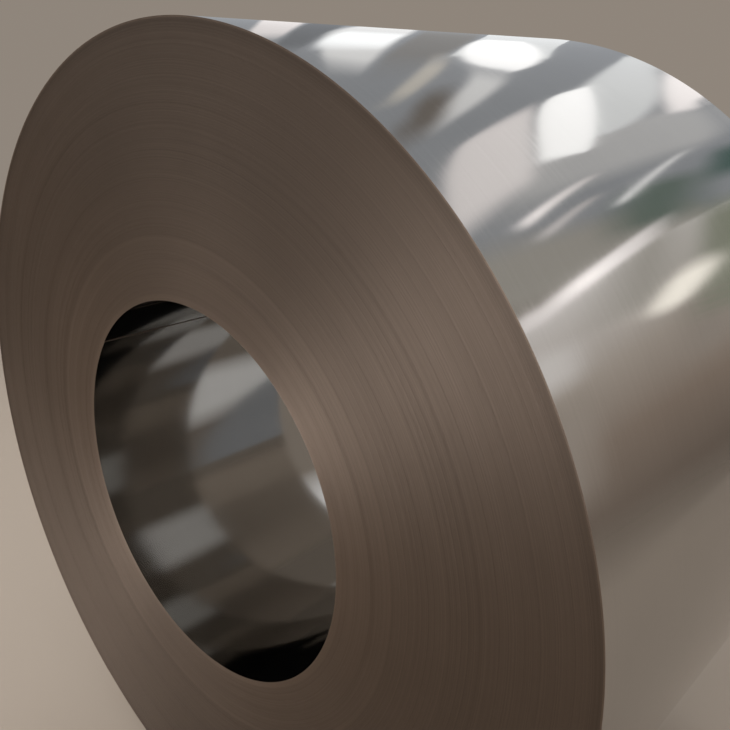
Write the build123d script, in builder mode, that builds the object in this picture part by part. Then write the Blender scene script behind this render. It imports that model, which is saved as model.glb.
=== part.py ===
# Coil of cold-rolled steel strip, lying on its side with its bore open at both ends.
# The strip is wound turn on turn into one solid body. Every turn has the same width, so a
# group of turns that ran to one side in winding stands proud at one end of the coil and lies
# as far back at the other, and both ends show the turns as shallow rings.
# Millimetres. The origin is the middle of the bore, +Y runs along the bore and +Z is up.
# The end that faces -Y is the front.

import os

from build123d import *

# Strip
strip_width = 850.0
strip_thickness = 1.0

# Bore
bore_diameter = 610.0

# Winding: the furthest that any turn may stand out of line at an end
run_out = 2.0

# Groups of turns from the bore outwards: how many turns, and the share of the run-out by which
# they stand out in front
turn_groups = [
    (5, 0.8),
    (24, 0.0),
    (21, 0.35),
    (16, 0.75),
    (30, 0.2),
    (9, -0.25),
    (42, 0.3),
    (27, 0.0),
    (34, 0.45),
    (18, 0.1),
    (45, -0.2),
    (31, 0.25),
    (28, 0.0),
    (40, 0.35),
    (5, 0.6),
]

# Where the strip's cut ends lie, in degrees anticlockwise from +X as seen from the front
head_end_angle = 140.0
tail_end_angle = 236.0

bore_radius = bore_diameter / 2
coil_radius = bore_radius + strip_thickness * sum(turns for turns, _ in turn_groups)

inner_turns, inner_share = turn_groups[0]
outer_turns, outer_share = turn_groups[-1]
inner_group_radius = bore_radius + strip_thickness * inner_turns
outer_group_radius = coil_radius - strip_thickness * outer_turns


def front_plane(share, cut_end_angle):
    """Plane on the front of a group, with its X axis through the strip's cut end."""
    return Plane(
        origin=(0, -strip_width / 2 - run_out * share, 0),
        x_dir=Vector(1, 0, 0).rotate(Axis.Y, -cut_end_angle),
        z_dir=(0, -1, 0),
    )


def lap_outline(radius):
    """One lap of the strip, as two half circles that climb by its thickness in a turn,
    closed by the step at its cut end."""
    half_way = radius + strip_thickness / 2
    full_turn = radius + strip_thickness
    centre_shift = strip_thickness / 4
    ThreePointArc((radius, 0), (-centre_shift, radius + centre_shift), (-half_way, 0))
    ThreePointArc((-half_way, 0), (centre_shift, -full_turn + centre_shift), (full_turn, 0))
    Line((full_turn, 0), (radius, 0))


with BuildPart() as steel_coil:
    # Main body: each group is a tube as long as the strip is wide, set to one side
    with BuildSketch(Plane.YZ):
        group_radius = inner_group_radius
        for turns, share in turn_groups[1:-1]:
            build_up = strip_thickness * turns
            with Locations((-run_out * share, group_radius + build_up / 2)):
                Rectangle(strip_width, build_up)
            group_radius += build_up
    revolve(axis=Axis.Y)

    # Inner turns, where the bore steps by one thickness at the strip's leading end
    with BuildSketch(front_plane(inner_share, head_end_angle)):
        Circle(inner_group_radius)
        with BuildLine():
            lap_outline(bore_radius)
        make_face(mode=Mode.SUBTRACT)
    extrude(amount=-strip_width)

    # Outer turns, which end in the step of the strip's tail
    with BuildSketch(front_plane(outer_share, tail_end_angle)):
        with BuildLine():
            lap_outline(coil_radius - strip_thickness)
        make_face()
        Circle(outer_group_radius, mode=Mode.SUBTRACT)
    extrude(amount=-strip_width)

steel_coil.part.label = "steel_coil"
os.makedirs("parts", exist_ok=True)
export_step(steel_coil.part, "parts/steel_coil.step")
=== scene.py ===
# Coil of bright cold-rolled steel strip, lying on its side on a plain floor.
# Metres, in the part's own frame: the origin is the middle of the bore, +Y runs along the bore
# away from the front end, and +Z is up.

import math

import bpy
import numpy as np
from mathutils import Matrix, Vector


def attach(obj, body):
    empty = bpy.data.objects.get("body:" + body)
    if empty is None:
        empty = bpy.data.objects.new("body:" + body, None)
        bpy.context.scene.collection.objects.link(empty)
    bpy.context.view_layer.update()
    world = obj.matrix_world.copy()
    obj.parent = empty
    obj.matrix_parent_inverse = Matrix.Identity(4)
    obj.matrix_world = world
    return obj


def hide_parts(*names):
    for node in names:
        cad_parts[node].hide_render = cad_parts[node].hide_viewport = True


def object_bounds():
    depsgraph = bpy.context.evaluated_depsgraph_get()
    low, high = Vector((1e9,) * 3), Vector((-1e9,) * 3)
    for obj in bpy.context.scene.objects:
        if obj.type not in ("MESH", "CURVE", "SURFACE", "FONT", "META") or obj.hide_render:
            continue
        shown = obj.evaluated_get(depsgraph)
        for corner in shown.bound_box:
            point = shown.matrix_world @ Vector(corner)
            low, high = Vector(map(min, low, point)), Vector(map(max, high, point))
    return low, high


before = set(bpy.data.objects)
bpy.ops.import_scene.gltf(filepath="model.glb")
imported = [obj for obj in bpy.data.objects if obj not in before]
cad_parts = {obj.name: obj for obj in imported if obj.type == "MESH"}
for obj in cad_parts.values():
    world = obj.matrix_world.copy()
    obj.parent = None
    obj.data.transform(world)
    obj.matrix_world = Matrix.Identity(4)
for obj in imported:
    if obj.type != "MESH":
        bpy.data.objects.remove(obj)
cad_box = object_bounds()


# Wound turns
# The coil is one steel strip, cold rolled, slit to width and wound turn on turn on a drum. Each
# turn's slit edge shows at both ends. The strip ran a little to one side and back as it was wound,
# so its edges stand out or lie back in rings. It is made here in lengths of some ninety turns.

strip_width = 0.850
strip_thickness = 0.001
bore_radius = 0.305
coil_radius = 0.680

# Where the strip starts at the bore and ends on the outside, seen from the front
head_angle = math.radians(140)
tail_angle = math.radians(236)
whole_turns = round((coil_radius - bore_radius) / strip_thickness) - 1
turns_wound = whole_turns + (tail_angle - head_angle) / math.tau
slack = 0.0001
climb = (coil_radius - slack - bore_radius) / (turns_wound + 1)

# Groups of turns from the bore outwards: how many, and how far they stand out in front, in mm
turn_groups = [
    (5, 1.6), (24, 0.0), (21, 0.7), (16, 1.5), (30, 0.4), (9, -0.5), (42, 0.6), (27, 0.0),
    (34, 0.9), (18, 0.2), (45, -0.4), (31, 0.5), (28, 0.0), (40, 0.7), (5, 1.2),
]
most_in_front = 0.0016
most_behind = 0.0005
shift_takes = 20.0

# Wander of the edge as the strip was wound: how far it ran, and over how many turns
slow_wander = 0.00005
slow_turns = (7.0, 16.0)
quick_wander = 0.000012
quick_turns = (1.3, 3.4)
edge_lean = 0.00001
lean_turns = (0.3, 2.7)
waves_each = 12

edge_corner = 0.00006
groove_depth = 0.00010
sharpest_bend = math.radians(5)

# Dents in a seen face grow to their full depth over this share of the strip's width
flat_margin = 0.03

group_ends = np.cumsum([turns for turns, _ in turn_groups])[:-1]
group_heights = np.array([height for _, height in turn_groups]) / 1000

winding = np.random.default_rng(41)


def wandering(amplitude, shortest, longest):
    """A smooth, aimless curve over the turns, as waves of random length and start."""
    pace = 1 / winding.uniform(shortest, longest, waves_each)
    start = winding.uniform(0, math.tau, waves_each)
    size = amplitude * math.sqrt(2 / waves_each)
    return lambda turn: size * np.sin(math.tau * np.multiply.outer(turn, pace) + start).sum(-1)


slow = wandering(slow_wander, *slow_turns)
quick = wandering(quick_wander, *quick_turns)
lean = wandering(edge_lean, *lean_turns)


def stands_out(turn):
    """How far the strip's front edge stands out at a place along it, counted in turns."""
    shift = np.clip(np.subtract.outer(turn, group_ends) / shift_takes + 0.5, 0, 1)
    height = group_heights[0] + (np.diff(group_heights) * shift**2 * (3 - 2 * shift)).sum(-1)
    return np.clip(height + slow(turn) + quick(turn), slack - most_behind, most_in_front - slack)


def ribbon(one, two, turn, low, high):
    """Faces between two rows of points, with each corner's place on the piece's map."""
    faces = np.column_stack((one[:-1], two[:-1], two[1:], one[1:]))
    along = turn[:-1] % 1
    ahead = along + np.diff(turn)
    corners = ((along, low[:-1]), (along, high[:-1]), (ahead, high[1:]), (ahead, low[1:]))
    return faces, np.stack([np.column_stack(corner) for corner in corners], axis=1)


def strip_piece(name, points, turn_at, edges, walls, steps, step_places):
    """The piece that a length's faces make, with the slit edge's material on its edges and steps
    and the bright one on its walls."""
    mesh = bpy.data.meshes.new(name)
    quads = [faces for faces, _ in edges + walls]
    mesh.from_pydata(np.vstack(points).tolist(), [], np.vstack(quads).tolist() + steps)
    places = [corners.reshape(-1, 2) for _, corners in edges + walls] + step_places
    mesh.uv_layers.new(name="OFBake").data.foreach_set("uv", np.vstack(places).ravel())
    is_wall = np.repeat(
        [False, True, False],
        [sum(len(faces) for faces, _ in edges), sum(len(faces) for faces, _ in walls), len(steps)],
    )
    mesh.polygons.foreach_set("use_smooth", is_wall)
    mesh.polygons.foreach_set("material_index", is_wall.astype(np.int32))
    where = mesh.attributes.new("turn", "FLOAT", "POINT")
    where.data.foreach_set("value", np.concatenate(turn_at))
    mesh.materials.append(slit_edge)
    mesh.materials.append(bright_strip)
    mesh.set_sharp_from_angle(angle=sharpest_bend)

    piece = bpy.data.objects.new(name, mesh)
    bpy.context.scene.collection.objects.link(piece)
    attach(piece, "root")
    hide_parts("steel_coil")


def wound_length(name, first_turn, last_turn, columns, seen_wall=None, rows=1, dents=None):
    """A length of the wound strip as one closed body: its slit edges in front and behind, its
    inner and outer faces, and the steps where it starts and ends. It has so many columns of
    points in a turn, and the face that is seen has rows of points across it and may be dented."""
    count = round((last_turn - first_turn) * columns)
    turn = first_turn + np.arange(count + 1) / columns
    first_lap = slice(0, columns + 1)
    last_lap = slice(count - columns, None)
    wrapped = slice(0, count - columns + 1)
    wrapping = slice(columns, None)
    points = []
    turn_at = []

    def add(line, turns):
        """Adds a row of points, which lie at these turns, and gives their numbers."""
        first = sum(len(row) for row in points)
        points.append(line)
        turn_at.append(turns)
        return first + np.arange(len(line))

    # Each turn's edge lies between two corners, and neighbouring turns share the groove between them
    angle = head_angle + math.tau * turn
    radius = bore_radius + climb * turn
    out, out_before, out_after = stands_out(turn), stands_out(turn - 1), stands_out(turn + 1)
    slant = lean(turn)
    half = strip_width / 2

    def ring(radii, y, length=None):
        line = np.column_stack((radii * np.cos(angle), y, radii * np.sin(angle)))
        return add(line[:length], turn[:length])

    inner = radius + edge_corner
    outer = radius + climb - edge_corner
    front_inner = ring(inner, np.maximum(-half - out + slant, -half - most_in_front))
    front_outer = ring(outer, np.maximum(-half - out - slant, -half - most_in_front))
    front_groove = ring(radius + climb, -half - np.minimum(out, out_after) + groove_depth)
    back_inner = ring(inner, np.minimum(half - out + slant, half + most_behind))
    back_outer = ring(outer, np.minimum(half - out - slant, half + most_behind))
    back_groove = ring(radius + climb, half - np.maximum(out, out_after) - groove_depth)
    front_start = ring(radius, -half - np.minimum(out, out_before) + groove_depth, columns)
    back_start = ring(radius, half - np.maximum(out, out_before) - groove_depth, columns)
    front_start = np.append(front_start, front_groove[0])
    back_start = np.append(back_start, back_groove[0])

    # Bands of the map: front edges, inner face, steps, outer face, back edges
    if seen_wall is None:
        front_map, back_map = (0.010, 0.485), (0.515, 0.990)
        inner_map, outer_map, step_map = (0.489, 0.494), (0.506, 0.511), 0.500
    else:
        front_map, back_map = (0.005, 0.030), (0.970, 0.995)
        inner_map, outer_map, step_map = (0.034, 0.038), (0.050, 0.950), 0.044
        if seen_wall == "inside":
            inner_map, outer_map = outer_map, inner_map

    def up(band, turns):
        """How high up its band of the map a turn lies, with room for the last turn's thickness."""
        low, high = band
        return low + (high - low) * (turns - first_turn) / (last_turn - first_turn + 1.2)

    def cover(bands, one, two, turns, low, high, turned_over):
        if turned_over:
            one, two, low, high = two, one, high, low
        bands.append(ribbon(one, two, turns, low, high))

    corner = edge_corner / climb
    edges = []
    for inner_row, outer_row, groove, start, band in (
        (front_inner, front_outer, front_groove, front_start, front_map),
        (back_inner, back_outer, back_groove, back_start, back_map),
    ):
        for one, two, turns, above, below in (
            (inner_row, outer_row, turn, corner, 1 - corner),
            (outer_row, groove, turn, 1 - corner, 1),
            (groove[wrapped], inner_row[wrapping], turn[wrapped], 1, 1 + corner),
            (start, inner_row[first_lap], turn[first_lap], 0, corner),
        ):
            low = up(band, turns + above)
            high = up(band, turns + below)
            cover(edges, one, two, turns, low, high, band is back_map)

    walls = []

    def wall(front, back, turns, band, side):
        """The strip's inner or outer face, in rows from front to back."""
        count_rows = rows if side == seen_wall else 1
        so_far = np.vstack(points)
        lines = [front]
        for row in range(1, count_rows):
            share = row / count_rows
            line = so_far[front] * (1 - share) + so_far[back] * share
            if dents is not None:
                depth = dents(turns, line[:, 1]) * min(share, 1 - share, flat_margin) / flat_margin
                line[:, ::2] *= (1 - depth / np.hypot(line[:, 0], line[:, 2]))[:, None]
            lines.append(add(line, turns))
        lines.append(back)
        heights = np.linspace(*band, len(lines))
        for one, two, low, high in zip(lines, lines[1:], heights, heights[1:]):
            level = np.ones(len(turns))
            cover(walls, one, two, turns, low * level, high * level, side == "inside")
        return lines

    inside = wall(front_start, back_start, turn[first_lap], inner_map, "inside")
    outside = wall(
        front_groove[last_lap], back_groove[last_lap], turn[last_lap], outer_map, "outside"
    )

    def step(lines, at):
        """The strip's section at one end of the length, as one face."""
        front_edge = [lines[0][0], front_inner[at], front_outer[at]]
        back_edge = [back_outer[at], back_inner[at]]
        outer_side = [line[-1] for line in lines]
        inner_side = [line[0] for line in lines[:0:-1]]
        return front_edge + outer_side + back_edge + inner_side

    steps = [step(inside, 0)[::-1], step(outside, -1)]
    step_places = []
    for middle, section in zip((0.25, 0.75), steps):
        spread = math.tau * np.arange(len(section)) / len(section)
        along = middle + 0.01 * np.cos(spread)
        step_places.append(np.column_stack((along, step_map + 0.002 * np.sin(spread))))

    strip_piece(name, points, turn_at, edges, walls, steps, step_places)


def new_material(name):
    material = bpy.data.materials.new(name)
    material.use_nodes = True
    return material, material.node_tree.nodes["Principled BSDF"]


def node(material, kind, **values):
    """Adds a shader node. Names of its sockets are given with _ for a space."""
    made = material.node_tree.nodes.new("ShaderNode" + kind)
    for key, value in values.items():
        if hasattr(made, key):
            setattr(made, key, value)
            continue
        socket = made.inputs[key.replace("_", " ")]
        if isinstance(value, bpy.types.NodeSocket):
            material.node_tree.links.new(value, socket)
        else:
            socket.default_value = value
    return made


def around_the_bore(material, across, along, through):
    """Places on the coil for a texture, scaled across the ends and along the bore."""
    place = node(material, "TexCoord").outputs["Object"]
    return node(material, "Mapping", Vector=place, Scale=(across, along, through)).outputs[0]


def tone(material, value, low, high, to_low, to_high):
    """Maps a texture's value from one range to another."""
    made = node(material, "MapRange", Value=value)
    made.inputs["From Min"].default_value = low
    made.inputs["From Max"].default_value = high
    made.inputs["To Min"].default_value = to_low
    made.inputs["To Max"].default_value = to_high
    return made.outputs[0]


def product(material, first, second):
    made = node(material, "Math", operation="MULTIPLY")
    material.node_tree.links.new(first, made.inputs[0])
    material.node_tree.links.new(second, made.inputs[1])
    return made.outputs[0]


# Slit edges: dull, warm grey, scored around the coil, with each turn a little different
slit_edge, shader = new_material("slit_edge")
edge_colour = (0.146, 0.114, 0.093)
shader.inputs["Metallic"].default_value = 1.0
shader.inputs["Anisotropic"].default_value = 0.7
shader.inputs["Anisotropic Rotation"].default_value = 0.25
links = slit_edge.node_tree.links
links.new(node(slit_edge, "Tangent", axis="Y").outputs[0], shader.inputs["Tangent"])
turn_here = node(slit_edge, "Attribute", attribute_name="turn").outputs["Fac"]


def by_turn(scale, detail):
    made = node(slit_edge, "TexNoise", noise_dimensions="1D", Scale=scale, Detail=detail)
    links.new(turn_here, made.inputs["W"])
    return made.outputs["Fac"]


each_turn = tone(slit_edge, by_turn(0.9, 2.0), 0.3, 0.7, 0.94, 1.06)
each_group = tone(slit_edge, by_turn(0.3, 2.0), 0.3, 0.7, 0.97, 1.03)
smudges = node(
    slit_edge, "TexNoise", Vector=around_the_bore(slit_edge, 1, 1, 1), Scale=4.0, Detail=5.0
)
smudge = tone(slit_edge, smudges.outputs["Fac"], 0.3, 0.7, 0.94, 1.06)

# Lighter turns at the bore, a faint light ring, and a duller margin within a painted highlight on the
# outermost turns, where their edges catch the light
ring_tones_and_rim_highlight = [
    (0, 1.48), (8, 1.42), (12, 1.25), (84, 1.14), (90, 1.20), (94, 1.20), (97, 1.05), (104, 1.05),
    (108, 1.08), (200, 1.0), (whole_turns - 20, 0.97), (whole_turns - 5, 0.83),
    # The last turns are painted lighter, as the highlight that the edges at the rim catch
    (whole_turns - 2, 0.90), (whole_turns - 1, 1.45), (whole_turns + 2, 1.45),
]
most_tone = 1.5
ramp = node(slit_edge, "ValToRGB")
share_of_turns = node(slit_edge, "Math", operation="DIVIDE")
links.new(turn_here, share_of_turns.inputs[0])
share_of_turns.inputs[1].default_value = whole_turns + 2
links.new(share_of_turns.outputs[0], ramp.inputs[0])
stops = ramp.color_ramp.elements
for _ in ring_tones_and_rim_highlight[2:]:
    stops.new(0.5)
for stop, (turn, value) in zip(stops, ring_tones_and_rim_highlight):
    stop.position = turn / (whole_turns + 2)
    stop.color = (value / most_tone,) * 3 + (1,)
ring_tone_and_rim_highlight = tone(slit_edge, ramp.outputs[0], 0, 1, 0, most_tone)
shade = product(slit_edge, product(slit_edge, each_turn, each_group), smudge)
shade = product(slit_edge, shade, ring_tone_and_rim_highlight)
tinted = node(slit_edge, "VectorMath", operation="SCALE", Scale=shade)
tinted.inputs[0].default_value = edge_colour
links.new(tinted.outputs[0], shader.inputs["Base Color"])
links.new(
    tone(slit_edge, by_turn(0.4, 3.0), 0.3, 0.7, 0.50, 0.58), shader.inputs["Roughness"]
)

# Strip's faces: bright, with fine rolling lines along the strip and faint oil marks
bright_strip, shader = new_material("bright_strip")
strip_colour = (0.53, 0.52, 0.505)
shader.inputs["Metallic"].default_value = 1.0
shader.inputs["Anisotropic"].default_value = 0.2
shader.inputs["Anisotropic Rotation"].default_value = 0.25
links = bright_strip.node_tree.links
links.new(node(bright_strip, "Tangent", axis="Y").outputs[0], shader.inputs["Tangent"])
lines = node(
    bright_strip,
    "TexNoise",
    Vector=around_the_bore(bright_strip, 1.2, 260, 1.2),
    Scale=1.0,
    Detail=4.0,
)
clouds = node(
    bright_strip,
    "TexNoise",
    Vector=around_the_bore(bright_strip, 3, 2, 3),
    Scale=1.0,
    Detail=6.0,
    Roughness=0.6,
)
rough = node(bright_strip, "Math", operation="ADD")
links.new(tone(bright_strip, clouds.outputs["Fac"], 0.35, 0.65, 0.06, 0.09), rough.inputs[0])
links.new(tone(bright_strip, lines.outputs["Fac"], 0.3, 0.7, -0.005, 0.01), rough.inputs[1])
links.new(rough.outputs[0], shader.inputs["Roughness"])
strip_tone = product(
    bright_strip,
    tone(bright_strip, lines.outputs["Fac"], 0.3, 0.7, 0.98, 1.015),
    tone(bright_strip, clouds.outputs["Fac"], 0.3, 0.7, 0.95, 1.03),
)
tinted = node(bright_strip, "VectorMath", operation="SCALE", Scale=strip_tone)
tinted.inputs[0].default_value = strip_colour
links.new(tinted.outputs[0], shader.inputs["Base Color"])

lengths = 4
columns_round = 144
ends_of = np.round(np.linspace(1, whole_turns - 1, lengths + 1)).astype(int)
for number, (start, end) in enumerate(zip(ends_of, ends_of[1:]), 1):
    wound_length(f"wound_turns_{number}", int(start), int(end), columns_round)


# Inner lap
# The strip's first turn, which lines the bore. It is the same bright strip, and it starts in a
# square-cut end that leaves a step of one thickness in the bore.

lap_columns = 480
wound_length("inner_lap", 0, 1, lap_columns, seen_wall="inside", rows=24)


# Outer lap
# The strip's last turn, which wraps the coil and ends in its square-cut tail at the lower left.
# The sheet lies on the turns beneath it and follows their slight unevenness.

unevenness = 0.00012
dent_waves = 14
deepest_round = 14
dent_rng = np.random.default_rng(7)
dent_round = dent_rng.integers(12, 46, dent_waves)
dent_along = dent_rng.uniform(-3.0, 3.0, dent_waves)
dent_start = dent_rng.uniform(0, math.tau, dent_waves)
dent_size = unevenness * math.sqrt(2 / dent_waves) * deepest_round / dent_round


def uneven(turns, y):
    """How deep the sheet is dented at a place on it, as waves that run round and along it."""
    waves = np.multiply.outer(math.tau * turns, dent_round) + np.multiply.outer(y, dent_along)
    return np.clip(unevenness + (dent_size * np.sin(waves + dent_start)).sum(-1), 0, None)


wound_length(
    "outer_lap",
    whole_turns - 1,
    whole_turns + round((turns_wound - whole_turns) * lap_columns) / lap_columns,
    lap_columns,
    seen_wall="outside",
    rows=60,
    dents=uneven,
)


# Floor and background
# A plain pale studio floor that the coil lies on. It passes softly into a backdrop of the same
# tone, which is lighter overhead.

floor_level = cad_box[0][2]
floor_reach = 6.0
fade_starts = 2.3
fade_ends = 5.4
floor_colour = (0.347, 0.292, 0.241, 1)
corners = [
    (x * floor_reach, y * floor_reach, floor_level) for x, y in ((-1, -1), (1, -1), (1, 1), (-1, 1))
]
floor_mesh = bpy.data.meshes.new("floor")
floor_mesh.from_pydata(corners, [], [(0, 1, 2, 3)])
floor = bpy.data.objects.new("floor", floor_mesh)
bpy.context.scene.collection.objects.link(floor)
floor_paint, shader = new_material("floor_paint")
shader.inputs["Base Color"].default_value = floor_colour
shader.inputs["Roughness"].default_value = 0.9
from_coil = node(floor_paint, "VectorMath", operation="LENGTH")
links = floor_paint.node_tree.links
links.new(node(floor_paint, "TexCoord").outputs["Object"], from_coil.inputs[0])
fading = tone(floor_paint, from_coil.outputs["Value"], fade_starts, fade_ends, 1, 0)
links.new(fading, shader.inputs["Alpha"])
floor_mesh.materials.append(floor_paint)

# Backdrop: the floor's tone up to the first height, as the sine of a view's angle, and white
# from the second
backdrop_tops_out = 0.6
overhead_starts = 0.8
backdrop_colour = (0.275, 0.236, 0.199, 1)
overhead_colour = (1, 1, 1, 1)
world = bpy.data.worlds.new("studio")
bpy.context.scene.world = world
world.use_nodes = True
around = world.node_tree.nodes
links = world.node_tree.links
height = around.new("ShaderNodeSeparateXYZ")
links.new(around.new("ShaderNodeTexCoord").outputs["Generated"], height.inputs[0])
sky = around.new("ShaderNodeValToRGB")
links.new(height.outputs["Z"], sky.inputs[0])
low_stop, high_stop = sky.color_ramp.elements
low_stop.position = backdrop_tops_out
low_stop.color = backdrop_colour
high_stop.position = overhead_starts
high_stop.color = overhead_colour
links.new(sky.outputs[0], around["Background"].inputs["Color"])


# Light panels
# Soft panels stand far behind and above the coil. The bright strip mirrors them as white windows
# and pale streaks across the wrap, with the gaps between them as darker bands.

panel_distance = 150.0
panel_columns = 17
panel_rows = 9

panel_light, shader = new_material("panel_light")
glow = node(panel_light, "Attribute", attribute_name="glow")
shader.inputs["Base Color"].default_value = (0, 0, 0, 1)
shader.inputs["Specular IOR Level"].default_value = 0
shader.inputs["Emission Strength"].default_value = 1
links = panel_light.node_tree.links
links.new(glow.outputs["Color"], shader.inputs["Emission Color"])
links.new(glow.outputs["Alpha"], shader.inputs["Alpha"])


def panel(name, level, far_edge, near_edge, tint, nearer, fade=(0, 0)):
    """A panel between two smooth edges. Each point on them is turned round the bore's line from
    +X, and away from the +Y direction, in degrees. Its level and tint may differ at the two
    edges, and it fades out over a share of its length and of its width."""
    along = np.linspace(0, 1, panel_columns)
    across = np.linspace(0, 1, panel_rows)
    edges = []
    for edge in (far_edge, near_edge):
        places = np.linspace(0, 1, len(edge))
        curve = np.polyfit(places, np.radians(edge), min(len(edge) - 1, 3))
        edges.append(np.polynomial.polynomial.polyval(along, curve[::-1]))
    share = across[:, None]
    turned, away = edges[0][:, None] * (1 - share) + edges[1][:, None] * share
    way = np.stack((np.sin(away) * np.cos(turned), np.cos(away), np.sin(away) * np.sin(turned)), -1)
    points = way.reshape(-1, 3) * (panel_distance - nearer)
    number = np.arange(len(points)).reshape(len(across), len(along))
    faces = np.stack((number[:-1, :-1], number[:-1, 1:], number[1:, 1:], number[1:, :-1]), -1)

    def cover(places, fading):
        return np.clip((np.minimum(places, 1 - places) + 1e-9) / (fading + 1e-9), 0, 1)

    far_light, near_light = np.broadcast_to(level, 2)[:, None] * np.broadcast_to(tint, (2, 3))
    light = np.empty((len(across), len(along), 4))
    light[..., :3] = (far_light * (1 - share) + near_light * share)[:, None]
    light[..., 3] = cover(along, fade[0]) * cover(share, fade[1])
    mesh = bpy.data.meshes.new(name)
    mesh.from_pydata(points.tolist(), [], faces.reshape(-1, 4).tolist())
    mesh.attributes.new("glow", "FLOAT_COLOR", "POINT").data.foreach_set("color", light.ravel())
    mesh.materials.append(panel_light)
    made = bpy.data.objects.new(name, mesh)
    bpy.context.scene.collection.objects.link(made)
    made.visible_camera = False


cool = (0.97, 0.99, 1.0)
blue = (0.93, 0.97, 1.03)
rose = (1.0, 0.95, 0.94)
cream = (1.0, 0.95, 0.86)
white = (1.0, 1.0, 1.0)
pink = (1.0, 0.96, 0.93)
sand = (1.0, 0.88, 0.77)
brown = (1.0, 0.79, 0.64)
ivory = (1.0, 0.98, 0.96)
sea_green = (0.6, 1.0, 0.9)
soft_green = (0.78, 1.0, 0.86)
olive = (0.95, 1.0, 0.78)
panel("grey_back", 0.38, [(182, 20), (160, 16), (140, 12), (115, 10), (90, 10), (70, 10), (50, 12)],
      [(182, 60), (160, 60), (140, 58), (115, 56), (90, 52), (70, 48), (50, 42)], blue, -30)
panel("far_strip", 1.35, [(150, 20), (125, 19.5), (113, 21.2), (104, 21.3)],
      [(145, 24.3), (125, 24.2), (112, 24.0), (103, 23.4)], rose, 16, (0.05, 0.1))
panel("far_pale", 0.93, [(156, 24.5), (140, 24.3), (125, 24.1), (110, 24.0), (103, 24.8), (94, 28.4)],
      [(150, 26.4), (140, 26.9), (130, 28.0), (120, 29.6), (108, 31.0), (98, 32.0)], cool, 12,
      (0.05, 0.08))
panel("far_grey", 0.60, [(108, 20.5), (100, 20.0), (94, 19.5), (84, 20.5)],
      [(104, 33.0), (94, 33.0), (82, 34.0), (66, 37.0)], white, 0, (0.2, 0.1))
panel("mid_window", 1.60, [(121, 28.7), (113, 28.2), (100, 28.1), (93, 28.4), (90, 29.2)],
      [(118, 29.8), (113, 31.2), (108, 31.9), (98, 31.9), (87, 31.9)], white, 20, (0.06, 0))
panel("mid_pale", 1.06, [(114, 31.9), (98, 31.9), (81, 31.9)],
      [(99, 36.8), (86, 39.0), (62, 39.0)], rose, 22, (0.14, 0.05))
panel("left_pale", 0.94, [(184, 30.0), (170, 30.0), (160, 30.2), (148, 31.0), (140, 31.2)],
      [(184, 35.2), (170, 35.3), (162, 35.6), (150, 36.5), (140, 37.8)], cool, 12)
panel("left_window", 1.50, [(158, 33.0), (150, 32.0), (142, 31.2), (135, 31.9), (128.5, 33.8)],
      [(158, 35.6), (150, 36.6), (140, 37.9), (136, 36.5), (131, 34.6)], white, 20, (0.04, 0.06))
panel("left_tail", 0.90, [(131, 33.4), (120, 34.2), (110, 36.4), (99, 39.5)],
      [(139, 37.4), (125, 36.8), (115, 38.2), (103, 40.4)], white, 10, (0.3, 0.25))
panel("left_line", 0.70, [(144, 37.6), (130, 38.1), (120, 39.7), (112, 41.6)],
      [(142, 39.3), (130, 40.1), (120, 41.7), (113, 42.7)], cream, 10, (0.3, 0.3))
panel("left_dark", 0.20, [(125, 37.3), (113, 37.3), (99, 39.4)],
      [(121, 39.6), (109, 41.3), (93, 42.8)], sand, 24, (0.35, 0.35))
panel("left_band", 0.31, [(184, 35.3), (162, 35.7), (150, 36.6), (140, 38.0), (124, 41.0)],
      [(184, 39.7), (160, 40.1), (150, 41.1), (140, 42.1), (122, 43.6)], ivory, 4,
      (0.25, 0.05))
panel("near_band", 0.24, [(184, 44.2), (165, 45.1), (155, 45.9), (146, 47.1), (138, 48.2)],
      [(184, 47.2), (173, 47.4), (162, 47.9), (146, 49.3), (136, 50.0)], blue, 4, (0.2, 0.1))
panel("near_pale", 0.95, [(184, 39.8), (170, 39.9), (160, 40.2), (150, 41.2), (140, 42.2), (125, 43.8)],
      [(184, 44.2), (174, 44.4), (165, 45.0), (155, 45.8), (146, 47.2), (127, 46.0)], white, 12,
      (0.12, 0.06))
panel("near_window", 1.45, [(161, 40.2), (154, 40.9), (147, 41.6), (142, 42.2)],
      [(161, 45.0), (154, 45.8), (147, 46.9), (140, 47.4)], cool, 20, (0.3, 0.08))
panel("rim_pale", 0.95, [(184, 47.2), (173, 47.4), (162, 47.9), (146, 49.3)],
      [(184, 50.5), (172, 50.6), (160, 51.0), (146, 51.5)], rose, 12, (0.1, 0.05))
panel("thin_a", (0.80, 1.60), [(85, 22.0), (85.5, 22.7)],
      [(66, 27.0), (67, 27.8)], white, 20, (0.3, 0.15))
panel("thin_b", (0.80, 1.90), [(81, 27.7), (81.5, 28.6)],
      [(65, 33.8), (68, 34.6)], rose, 20, (0.3, 0.15))
panel("thin_c", (0.65, 1.05), [(73, 27.7), (73.5, 28.6)],
      [(60.5, 32.7), (63, 33.4)], rose, 20, (0.3, 0.2))
panel("right_dark", 0.15, [(87, 17.6), (78, 17.2), (68, 17.6)],
      [(85, 21.4), (77, 21.9), (67, 22.4)], sea_green, 14, (0.3, 0.3))
panel("right_green", 0.20, [(77, 20.2), (66, 20.4), (54, 20.8)],
      [(76, 26.6), (65, 29.2), (54, 29.0)], soft_green, 16, (0.25, 0.4))
panel("far_olive", 0.32, [(64, 17), (45, 18), (28, 19), (13, 20)],
      [(63, 22.6), (46, 23.5), (32, 24.6), (19, 26.0)], olive, 13, (0.15, 0.25))
panel("right_grey", 0.44, [(66, 24.0), (58, 22.0), (44, 22.0)],
      [(68, 40.0), (52, 40.0), (38, 40.0)], cream, 0, (0.3, 0))
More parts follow.
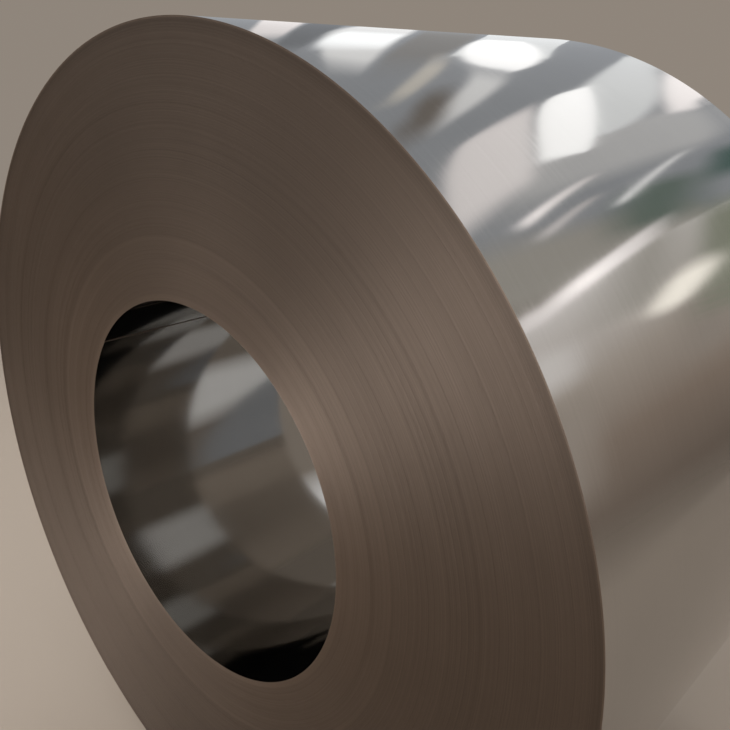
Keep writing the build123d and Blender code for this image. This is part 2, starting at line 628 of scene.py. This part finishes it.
panel("right_strip", 1.32, [(61.5, 23.7), (55, 27.2), (49, 30.8), (43.5, 34.6), (42, 36.5)],
      [(53.5, 24.2), (47.5, 28.0), (42.5, 31.5), (38, 34.8), (36.5, 36.5)], rose, 20, (0.2, 0.2))
panel("right_glint", 2.10, [(55, 27.2), (49, 30.8), (45, 33.6)],
      [(49, 27.0), (44, 30.5), (40, 33.4)], rose, 22, (0.5, 0.3))
panel("right_shade", 0.50, [(60, 21.0), (46, 21.5), (30, 22.5)],
      [(50, 30.0), (41, 31.5), (29, 34.0)], cream, 12, (0.15, 0.5))
panel("right_patch", 1.60, [(43, 22.8), (36, 21.8), (29, 24.1), (25, 26.4)],
      [(40, 25.0), (35, 26.6), (31, 27.8), (27, 28.0)], cream, 20, (0.3, 0.3))
panel("low_pale", (0.87, 0.50), [(59, 20), (49, 28), (38.5, 37), (28, 46)],
      [(25, 20), (21, 28), (16.4, 37), (12, 46)], (pink, sand), 11)
panel("low_rim", 0.90, [(33, 31.8), (26, 32.2), (18, 33.0)],
      [(33, 38.0), (25, 38.0), (15, 38.0)], pink, 14, (0.35, 0.35))
panel("far_shade", 0.38, [(34, 20.0), (20, 21.0), (6, 22.0)],
      [(31, 26.0), (19, 27.5), (5, 28.5)], sand, 13, (0.25, 0.5))
panel("low_brown", (0.50, 0.30), [(25, 20), (21, 28), (16.4, 37), (12, 46)],
      [(0, 20), (0, 28), (0, 37), (0, 46)], (sand, brown), 11)
panel("low_sheen", 0.44, [(19, 32.5), (6, 33.6), (-4, 35.0), (-16, 37.0)],
      [(21, 40.0), (6, 41.0), (-6, 43.0), (-18, 44.0)], sand, 14, (0.25, 0.3))
panel("low_dark", (0.30, 0.12), [(0, 20), (0, 28), (0, 37), (0, 46)],
      [(-33, 20), (-33, 28), (-33, 37), (-33, 46)], brown, 11)


# Lamps
# A broad soft key from the front left lays the coil's shadow behind it. A soft lamp before each
# end of the coil brings out the scored sheen of the slit edges, and one at the left lifts the top.

for name, size, energy, spread, place, is_mirrored in (
    ("key", 2.4, 225, 180, (-2.6, -4.6, 3.6), False),
    ("front", 2.4, 35, 80, (0.8, -5.2, 1.05), True),
    ("back", 1.2, 21, 80, (-0.7, 5.2, 0.6), True),
    ("left", 2.0, 16, 180, (-3.8, -3.8, 1.3), True),
):
    light = bpy.data.lights.new(name, "AREA")
    light.size = size
    light.energy = energy
    light.spread = math.radians(spread)
    lamp = bpy.data.objects.new(name, light)
    bpy.context.scene.collection.objects.link(lamp)
    lamp.location = place
    lamp.rotation_euler = Vector(place).to_track_quat("Z", "Y").to_euler()
    lamp.visible_camera = False
    lamp.visible_glossy = is_mirrored


# Camera
# It looks down along the coil from the front right, as the photograph does.

looks_down = math.radians(19.92)
turned_left = math.radians(43.39)
camera_data = bpy.data.cameras.new("camera")
camera_data.lens = 39.07
camera_data.sensor_width = 36
camera = bpy.data.objects.new("camera", camera_data)
bpy.context.scene.collection.objects.link(camera)
camera.location = (0.931, -1.033, 0.606)
camera.rotation_euler = (math.pi / 2 - looks_down, 0, turned_left)
bpy.context.scene.camera = camera
bpy.context.scene.view_settings.view_transform = "Standard"
